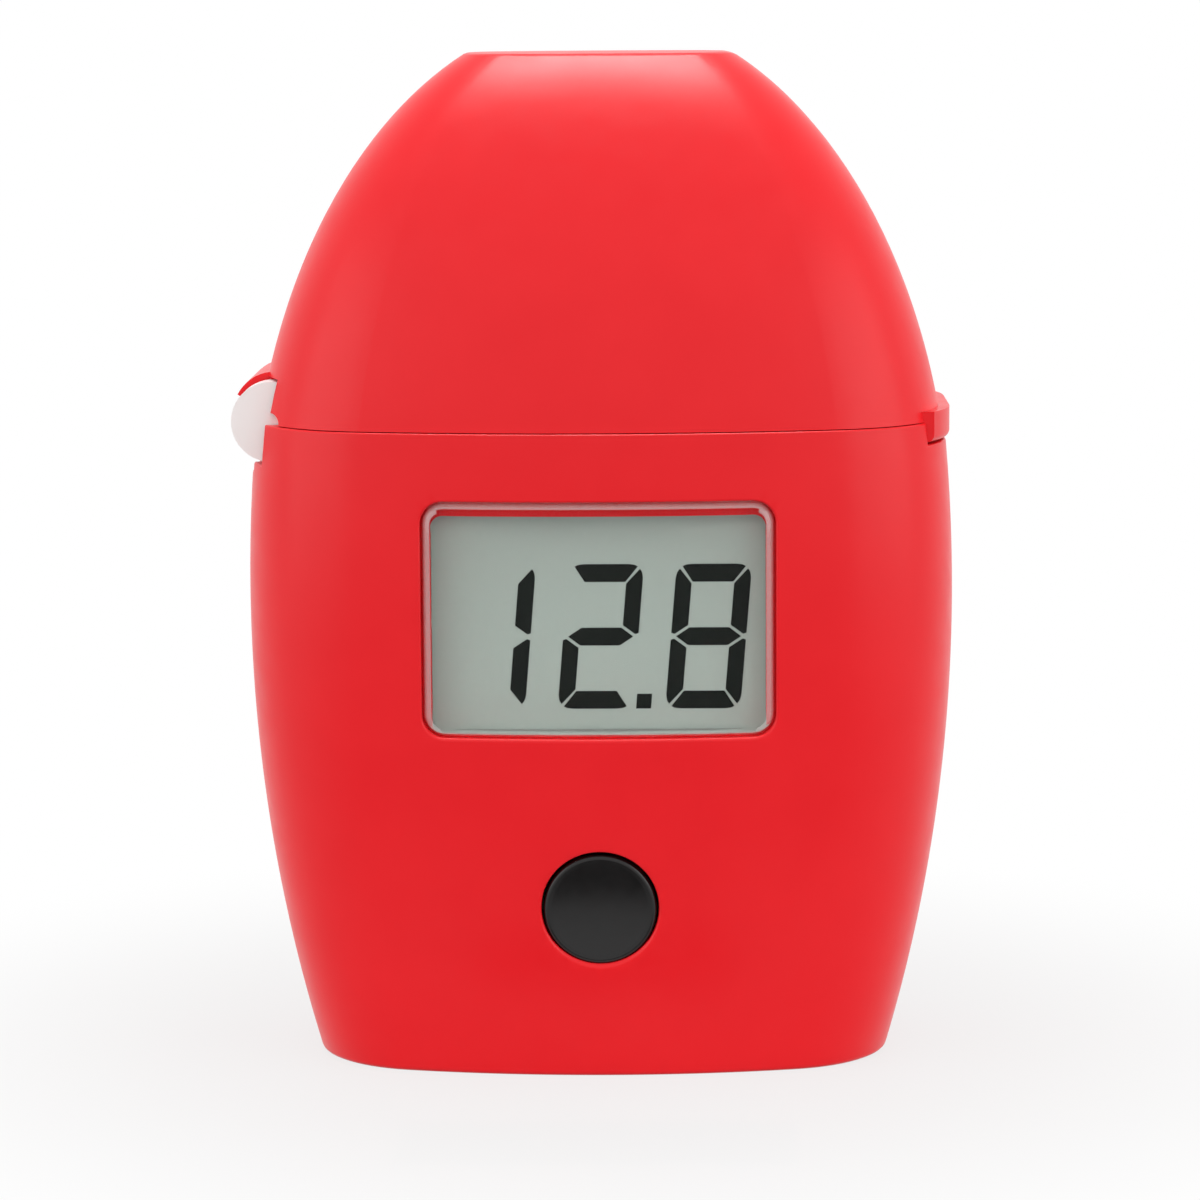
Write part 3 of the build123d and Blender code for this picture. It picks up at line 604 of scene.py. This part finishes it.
red = red_plastic()
slot_materials = {
    "red_housing": red,
    "white_deck": white_plastic(),
    "black_holder": plain_plastic("black_plastic", (0.012, 0.012, 0.012), 0.55),
    "black_button": button_plastic(),
    "clear_lens": clear_plastic("clear_lens", (0.98, 0.99, 0.98)),
    "display_glass": display_glass(),
    "grey_frame": plain_plastic("grey_plastic", (0.35, 0.35, 0.34), 0.5),
    "contact_rubber": plain_plastic("contact_rubber", (0.03, 0.03, 0.03), 0.8),
    "circuit_board": plain_plastic("solder_resist", (0.01, 0.13, 0.04), 0.35),
    "chip_black": plain_plastic("chip_black", (0.015, 0.015, 0.016), 0.4),
    "switch_plastic": plain_plastic("switch_plastic", (0.6, 0.58, 0.52), 0.45),
    "led_epoxy": clear_plastic("led_epoxy", (0.9, 0.95, 0.92)),
    "filter_glass": clear_plastic("filter_glass", (0.2, 0.55, 0.3)),
    "plated_metal": metal("plated_metal", (0.62, 0.60, 0.56), 0.3),
    "battery_wrap": plain_plastic("battery_wrap", (0.05, 0.05, 0.055), 0.3),
    "screw_steel": metal("screw_steel", (0.55, 0.55, 0.56), 0.32),
}

for part in frame["record"]["subparts"]:
    node = frame["nodes"][part["node"]]
    node.data.materials.clear()
    node.data.materials.append(slot_materials[part["material_slot"]])


# Front casing half

def front_outline(depth):
    """The front half's rim at a depth: seam, hinge notch, top edge, tab notch, seam and base."""
    def side_u(y, z):
        return body_plan.u_at_y(y, body_scale(z), depth)

    stop_row = row_at(stop_notch_bottom, depth)
    ear_row = row_at(ear_notch_bottom, depth)
    tab_row = row_at(tab_notch_bottom, depth)
    return [
        (-body_plan.quarter, -base_run), (body_plan.quarter, -base_run),
        (body_plan.quarter, tab_row), (side_u(tab_notch_half, tab_notch_bottom), tab_row),
        (side_u(tab_notch_half, body_top), body_top), (-side_u(ear_notch_half, body_top), body_top),
        (-side_u(ear_notch_half, ear_notch_bottom), ear_row),
        (-side_u(stop_notch_half, ear_notch_bottom), ear_row),
        (-side_u(stop_notch_half, stop_notch_bottom), stop_row), (-body_plan.quarter, stop_row),
    ]


def side_counts(corners):
    """Into how many steps each side of a closed outline is divided."""
    counts = []
    for i, (x0, y0) in enumerate(corners):
        x1, y1 = corners[(i + 1) % len(corners)]
        counts.append(max(1, round(sqrt((x1 - x0) ** 2 + (y1 - y0) ** 2) / rim_spacing)))
    return counts


def front_casing():
    """The front half with its wall, its window pocket and its button hole, and every moulded edge rounded."""
    sides = front_outline(0)
    counts = side_counts(sides)
    side_rounds = [0, seam_round, notch_round, notch_round, rim_round, notch_round, notch_round, notch_round,
                   notch_round, seam_round]
    rounds = [r for r, count in zip(side_rounds, counts) for _ in range(count)]
    rim = walk(sides, counts)
    pocket = rounded_rectangle(lens_width + 2 * lens_clearance, lens_height + 2 * lens_clearance,
                               lens_corner + lens_clearance)
    view = rounded_rectangle(view_width, view_height, view_corner)
    window = onto_front(pocket, window_height, 0)
    window_rounds = [window_round] * len(window)
    hole = circle(button_radius + button_clearance, hole_points)
    button = onto_front(hole, button_height, 0)
    button_rounds = [button_hole_round] * len(button)

    build = Build()
    columns = spread(-body_plan.quarter, body_plan.quarter, skin_spacing)
    rows = spread(-base_run, -base_round, base_spacing) + [-base_round / 2, 0, base_round / 2]
    rows += spread(base_round, body_top, skin_spacing)
    build.skin([inset_loop(rim, rounds, 1), inset_loop(window, window_rounds, 1),
                inset_loop(button, button_rounds, 1)], front, 0, columns, rows)
    inner_rim = walk(front_outline(wall), counts)
    build.rings(rolled(rim, rounds, front) + [at_depth(inner_rim, front, wall)])
    lens_back = lens_recess + lens_thickness
    view_back = onto_front(view, view_middle, wall)
    build.rings(rolled(window, window_rounds, front)
                + [at_depth(onto_front(pocket, window_height, lens_back), front, lens_back),
                   at_depth(onto_front(view, view_middle, lens_back), front, lens_back),
                   at_depth(view_back, front, wall)])
    hole_back = onto_front(hole, button_height, wall)
    build.rings(rolled(button, button_rounds, front) + [at_depth(hole_back, front, wall)])
    coarse_columns = spread(-body_plan.quarter, body_plan.quarter, inner_spacing)
    coarse_rows = spread(-base_run, 0, inner_base_spacing) + spread(inner_first_row, body_top, inner_spacing)
    build.skin([inner_rim, view_back, hole_back], front, wall, coarse_columns, coarse_rows)
    return build.finish("front_casing", red, "body", ["front_shell"])


def window_frame():
    """The grey frame behind the window, which the display lies against."""
    view = rounded_rectangle(view_width, view_height, view_corner)
    wide = rounded_rectangle(view_width + 2 * frame_rib, view_height + 2 * frame_rib, view_corner + frame_rib)
    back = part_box("lcd_panel")[0].y / MM - frame_panel_gap
    start = wall - frame_overlap
    build = Build()
    rings = [
        at_depth(onto_front(view, view_middle, start), front, start),
        [Vector((x, back, z + view_middle)) for x, z in view],
        [Vector((x, back, z + view_middle)) for x, z in wide],
        at_depth(onto_front(wide, view_middle, start), front, start),
    ]
    build.rings(rings + [rings[0]])
    return build.finish("window_frame", slot_materials["grey_frame"], "body")


def window_lens():
    """The clear window, curved as the casing is, with round edges that reflect more than its face and carry a
    painted highlight.
    """
    outline = rounded_rectangle(lens_width, lens_height, lens_corner)
    loop = onto_front(outline, window_height, lens_recess)
    rounds = [lens_round] * len(loop)
    back_depth = lens_recess + lens_thickness
    back = onto_front(outline, window_height, back_depth)
    columns = spread(-lens_width / 2, lens_width / 2, lens_spacing)
    rows = spread(window_height - lens_height / 2, window_height + lens_height / 2, lens_spacing)
    build = Build()
    # The outline runs clockwise for a hole, so the lens takes it the other way round.
    build.skin([inset_loop(loop[::-1], rounds, 1)], front, lens_recess, columns, rows)
    build.rings(rolled(loop[::-1], rounds, front, lens_recess) + [at_depth(back[::-1], front, back_depth)])
    build.skin([back[::-1]], front, back_depth, columns, rows)
    lens = build.finish("window_lens", slot_materials["clear_lens"], "body", ["lcd_window"])
    # The edge faces take the pale material, which paints a highlight on them.
    lens.data.materials.append(painted_highlight_edge())
    for face in lens.data.polygons:
        if abs(face.normal.y) < lens_edge_facing:
            face.material_index = 1
    return lens


def leaning(outline):
    """An outline about a digit's middle, leaning to the right as the digits do."""
    return [(x + z * tan(digit_slant), z) for x, z in outline]


def mirrored(points, flip_x, flip_z):
    """The outline mirrored, kept running the same way round."""
    made = [(-x if flip_x else x, -z if flip_z else z) for x, z in points]
    return made[::-1] if flip_x != flip_z else made


def digit_bars():
    """The seven bars of a digit, as outlines in x and z about its middle, clockwise seen from the front."""
    right = digit_width / 2
    top = digit_height / 2
    inner = right - digit_post
    bar_half = digit_bar / 2
    slit = digit_gap
    upper_right = [
        (right - post_tip[0], top - post_tip[1]), (right - post_shoulder[0], top - post_shoulder[1]),
        (right, top - post_straight_start), (right, post_straight_end), (right - post_foot, slit),
        (inner, bar_half + slit), (inner, top - digit_bar - slit * post_gap_share),
    ]
    top_right = [
        (right - bar_straight_start, top), (right - bar_shoulder[0], top - bar_shoulder[1]),
        (right - bar_tip[0], top - bar_tip[1]), (inner - slit * bar_gap_share, top - digit_bar),
    ]
    top_bar = top_right + [(-x, z) for x, z in top_right[::-1]]
    middle_end = inner - slit * middle_gap_share
    middle_right = [(middle_end, bar_half), (right - middle_tip, 0), (middle_end, -bar_half)]
    middle_bar = middle_right + [(-x, z) for x, z in middle_right[::-1]]
    return {
        "top": top_bar, "middle": middle_bar, "bottom": mirrored(top_bar, False, True),
        "upper right": upper_right, "upper left": mirrored(upper_right, True, False),
        "lower right": mirrored(upper_right, False, True), "lower left": mirrored(upper_right, True, True),
    }


def display_digits():
    """The number on the display, as thin bars in front of the panel."""
    panel_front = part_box("lcd_panel")[0].y / MM
    bars = digit_bars()
    shown = [
        ["upper right", "lower right"],
        ["top", "upper right", "middle", "lower left", "bottom"],
        list(bars),
    ]
    outlines = []
    for place, names in enumerate(shown):
        middle = digit_middle_x + (place - 1) * digit_pitch
        for name in names:
            outlines.append([(x + middle, z) for x, z in leaning(bars[name])])
    low = -digit_height / 2
    high = low + point_side
    half = point_side / 2
    point = [(-half, high), (half, high), (half, low), (-half, low)]
    outlines.append([(x + point_x, z) for x, z in leaning(point)])
    build = Build()
    for outline in outlines:
        rings = []
        for y in (panel_front - digit_thickness, panel_front):
            rings.append([Vector((x, y, z + digit_middle_z)) for x, z in outline])
        build.rings(rings)
        build.add(rings[0], [tuple(range(len(outline)))])
        build.add(rings[1], [tuple(range(len(outline)))[::-1]])
    return build.finish("display_digits", segment_ink(), "body")


def button_cap():
    """The push button: a shallow dish with a narrow rounded lip, flush with the casing round it."""
    dish_edge = button_radius - button_lip
    shoulder = button_radius - button_round
    sag = dish_edge ** 2 / (2 * button_dish_radius)
    profile = []
    for share in dish_ring_shares:
        radius = dish_edge * share
        profile.append((radius, button_recess + sag - radius ** 2 / (2 * button_dish_radius)))
    profile.append((dish_edge + dish_rim_width, button_recess + dish_rim_depth))
    profile.append(((dish_edge + shoulder) / 2, button_recess))
    for k in range(button_round_steps + 1):
        angle = pi / 2 * k / button_round_steps
        depth = button_recess + button_round * (1 - cos(angle))
        profile.append((shoulder + button_round * sin(angle), depth))
    rings = []
    for radius, depth in profile:
        rings.append(at_depth(onto_front(circle(radius, button_points), button_height, depth), front, depth))
    back = [Vector((p.x, button_back_y, p.z)) for p in rings[-1]]
    build = Build()
    build.cap(rings[0])
    build.rings(rings + [back])
    build.cap(back)
    return build.finish("button_cap", slot_materials["black_button"], "button",
                        ["power_button"], crisp=button_crisp_angle)


front_casing()
window_frame()
window_lens()
display_digits()
button_cap()

# Stage, light and camera, in metres

camera_place = (0.007, -0.38, 0.093)
camera_pitch = radians(8.141)
camera_yaw = radians(1.081)
camera_roll = radians(0.38)
camera_lens = 132.28
camera_sensor = 36
floor_half = 2.0
floor_fade_start = 0.03
floor_fade_end = 0.085
floor_white_share = 0.78
front_level = 1.07
back_level = 0.8
level_change_start = -0.5
level_change_end = 0.6


def add_camera():
    """The photograph's view, from a little above and in front."""
    forward = Vector((-sin(camera_yaw) * cos(camera_pitch), cos(camera_yaw) * cos(camera_pitch),
                      -sin(camera_pitch)))
    level = forward.cross(Vector((0, 0, 1))).normalized()
    upright = level.cross(forward)
    right = level * cos(camera_roll) - upright * sin(camera_roll)
    up = level * sin(camera_roll) + upright * cos(camera_roll)
    data = bpy.data.cameras.new("camera")
    data.lens = camera_lens
    data.sensor_width = camera_sensor
    data.clip_start = 0.01
    camera = bpy.data.objects.new("camera", data)
    turn = Matrix((right, up, -forward)).transposed().to_4x4()
    camera.matrix_world = Matrix.Translation(camera_place) @ turn
    bpy.context.scene.collection.objects.link(camera)
    bpy.context.scene.camera = camera


def background_rays(nodes, links):
    """1 for rays from the camera, and for those that glossy and clear surfaces send on, else 0."""
    path = nodes.new("ShaderNodeLightPath")
    glossy = nodes.new("ShaderNodeMath")
    glossy.operation = "MAXIMUM"
    links.new(path.outputs["Is Camera Ray"], glossy.inputs[0])
    links.new(path.outputs["Is Glossy Ray"], glossy.inputs[1])
    either = nodes.new("ShaderNodeMath")
    either.operation = "MAXIMUM"
    links.new(glossy.outputs["Value"], either.inputs[0])
    links.new(path.outputs["Is Transmission Ray"], either.inputs[1])
    return either.outputs["Value"]


def white_stage_material():
    """A pale floor that keeps the shadow near the object and fades to plain white around it."""
    made = material("stage_white", (0.46, 0.45, 0.445), roughness=0.7)
    nodes = made.node_tree.nodes
    links = made.node_tree.links
    white = nodes.new("ShaderNodeEmission")
    place = nodes.new("ShaderNodeTexCoord")
    distance = nodes.new("ShaderNodeVectorMath")
    distance.operation = "LENGTH"
    links.new(place.outputs["Object"], distance.inputs[0])
    fade = nodes.new("ShaderNodeMapRange")
    fade.interpolation_type = "SMOOTHSTEP"
    fade.inputs["From Min"].default_value = floor_fade_start
    fade.inputs["From Max"].default_value = floor_fade_end
    fade.inputs["To Min"].default_value = floor_white_share
    links.new(distance.outputs["Value"], fade.inputs["Value"])
    seen = nodes.new("ShaderNodeMath")
    seen.operation = "MULTIPLY"
    links.new(background_rays(nodes, links), seen.inputs[0])
    links.new(fade.outputs["Result"], seen.inputs[1])
    mix = nodes.new("ShaderNodeMixShader")
    links.new(seen.outputs["Value"], mix.inputs["Fac"])
    links.new(nodes["Principled BSDF"].outputs["BSDF"], mix.inputs[1])
    links.new(white.outputs["Emission"], mix.inputs[2])
    links.new(mix.outputs["Shader"], nodes["Material Output"].inputs["Surface"])
    return made


def add_floor():
    """The floor, a single square around the object."""
    mesh = bpy.data.meshes.new("floor")
    corners = [(x * floor_half, y * floor_half, 0) for x, y in ((-1, -1), (1, -1), (1, 1), (-1, 1))]
    mesh.from_pydata(corners, [], [(0, 1, 2, 3)])
    mesh.materials.append(white_stage_material())
    floor = bpy.data.objects.new("floor", mesh)
    bpy.context.scene.collection.objects.link(floor)


def add_light(name, place, target, width, height, power, gloss_only=False):
    """A rectangular lamp turned to its target. One for gloss only adds highlights, and no other light."""
    data = bpy.data.lights.new(name, "AREA")
    data.shape = "RECTANGLE"
    data.size = width
    data.size_y = height
    data.energy = power
    light = bpy.data.objects.new(name, data)
    light.visible_diffuse = not gloss_only
    aim = Vector(target) - Vector(place)
    light.matrix_world = Matrix.Translation(place) @ aim.to_track_quat("-Z", "Y").to_matrix().to_4x4()
    bpy.context.scene.collection.objects.link(light)


def add_sheet(name, look, half_width, near, away, height, unseen):
    """A sheet just above the floor in front of the object, which the named kinds of ray pass through."""
    mesh = bpy.data.meshes.new(name)
    mesh.from_pydata([(-half_width, away, height), (half_width, away, height), (half_width, near, height),
                      (-half_width, near, height)], [], [(0, 1, 2, 3)])
    mesh.materials.append(look)
    sheet = bpy.data.objects.new(name, mesh)
    for kind in unseen:
        setattr(sheet, kind, False)
    bpy.context.scene.collection.objects.link(sheet)


def add_world():
    """A pale room, a little brighter in front of the object. Background rays see it plain white."""
    world = bpy.data.worlds.new("studio")
    bpy.context.scene.world = world
    world.use_nodes = True
    nodes = world.node_tree.nodes
    links = world.node_tree.links
    room = nodes["Background"]
    room.inputs["Color"].default_value = (1, 1, 1, 1)
    place = nodes.new("ShaderNodeTexCoord")
    split = nodes.new("ShaderNodeSeparateXYZ")
    links.new(place.outputs["Generated"], split.inputs["Vector"])
    level = nodes.new("ShaderNodeMapRange")
    level.interpolation_type = "SMOOTHSTEP"
    level.inputs["From Min"].default_value = level_change_start
    level.inputs["From Max"].default_value = level_change_end
    level.inputs["To Min"].default_value = front_level
    level.inputs["To Max"].default_value = back_level
    links.new(split.outputs["Y"], level.inputs["Value"])
    links.new(level.outputs["Result"], room.inputs["Strength"])
    white = nodes.new("ShaderNodeBackground")
    white.inputs["Color"].default_value = (1, 1, 1, 1)
    white.inputs["Strength"].default_value = 1.0
    mix = nodes.new("ShaderNodeMixShader")
    links.new(background_rays(nodes, links), mix.inputs["Fac"])
    links.new(room.outputs["Background"], mix.inputs[1])
    links.new(white.outputs["Background"], mix.inputs[2])
    links.new(mix.outputs["Shader"], nodes["World Output"].inputs["Surface"])


add_camera()
add_floor()
add_world()
add_light("top softbox", place=(0.0, 0.05, 0.5), target=(0, 0, 0.06), width=0.4, height=0.3, power=0.45)
add_light("top gloss", place=(0.0, -0.02, 0.55), target=(0, 0, 0.08), width=0.3, height=0.22, power=3.6,
          gloss_only=True)
add_light("left softbox", place=(-0.53, -0.28, 0.12), target=(0, 0, 0.05), width=0.6, height=0.5, power=1.3)
add_light("right softbox", place=(0.53, -0.28, 0.12), target=(0, 0, 0.05), width=0.6, height=0.5, power=1.6)

# The flag, a dark sheet hidden from the camera, keeps some of the floor's light off the lower front. The
# second dark sheet, seen only in reflections, paints a dark reflection into the button's dish.
shade_sheet_look = material("shade_sheets_dark", (0.02, 0.02, 0.02), roughness=0.9)
add_sheet("flag", shade_sheet_look, half_width=0.4, near=-0.058, away=-0.7, height=0.001,
          unseen=["visible_camera", "visible_glossy"])
add_sheet("painted_reflection_sheet", shade_sheet_look, half_width=0.016, near=-0.03, away=-0.043, height=0.0005,
          unseen=["visible_camera", "visible_diffuse", "visible_shadow", "visible_transmission"])

bpy.context.scene.view_settings.view_transform = "Standard"
